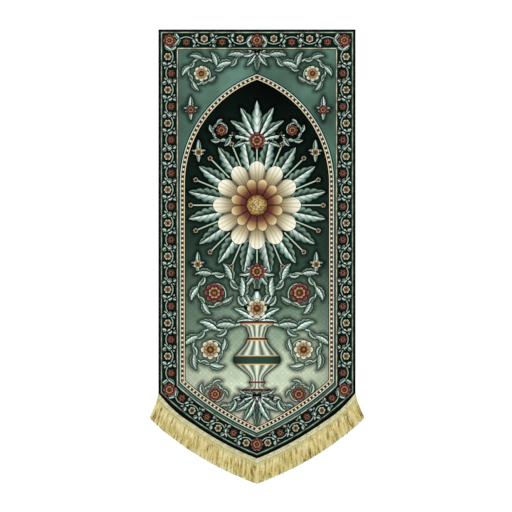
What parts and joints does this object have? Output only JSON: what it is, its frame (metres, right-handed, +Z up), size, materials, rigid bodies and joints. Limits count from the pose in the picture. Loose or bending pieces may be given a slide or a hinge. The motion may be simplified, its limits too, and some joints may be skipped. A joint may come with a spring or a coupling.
{
  "type": "velvet hanging banner",
  "caption": "Tall printed velvet banner whose pointed lower hem carries a gold fringe, hung by its top edge.",
  "frame": {"origin": "middle of the top edge, on the back of the turned hem, in the plane that the banner is fixed to", "axes": "+Z up along the banner's length, -Y out of the printed face towards the viewer, +X to the viewer's right"},
  "size_m": [0.547, 0.0126, 1.1512],
  "materials": {
    "printed_velvet": "short-pile velvet with a printed pattern in grey green, sage, cream and dark red",
    "gold_thread": "pale metallic gold thread, twisted and woven"
  },
  "bodies": {
    "root": {"velvet_panel": "printed_velvet", "gold_fringe": "gold_thread"}
  },
  "joints": []
}
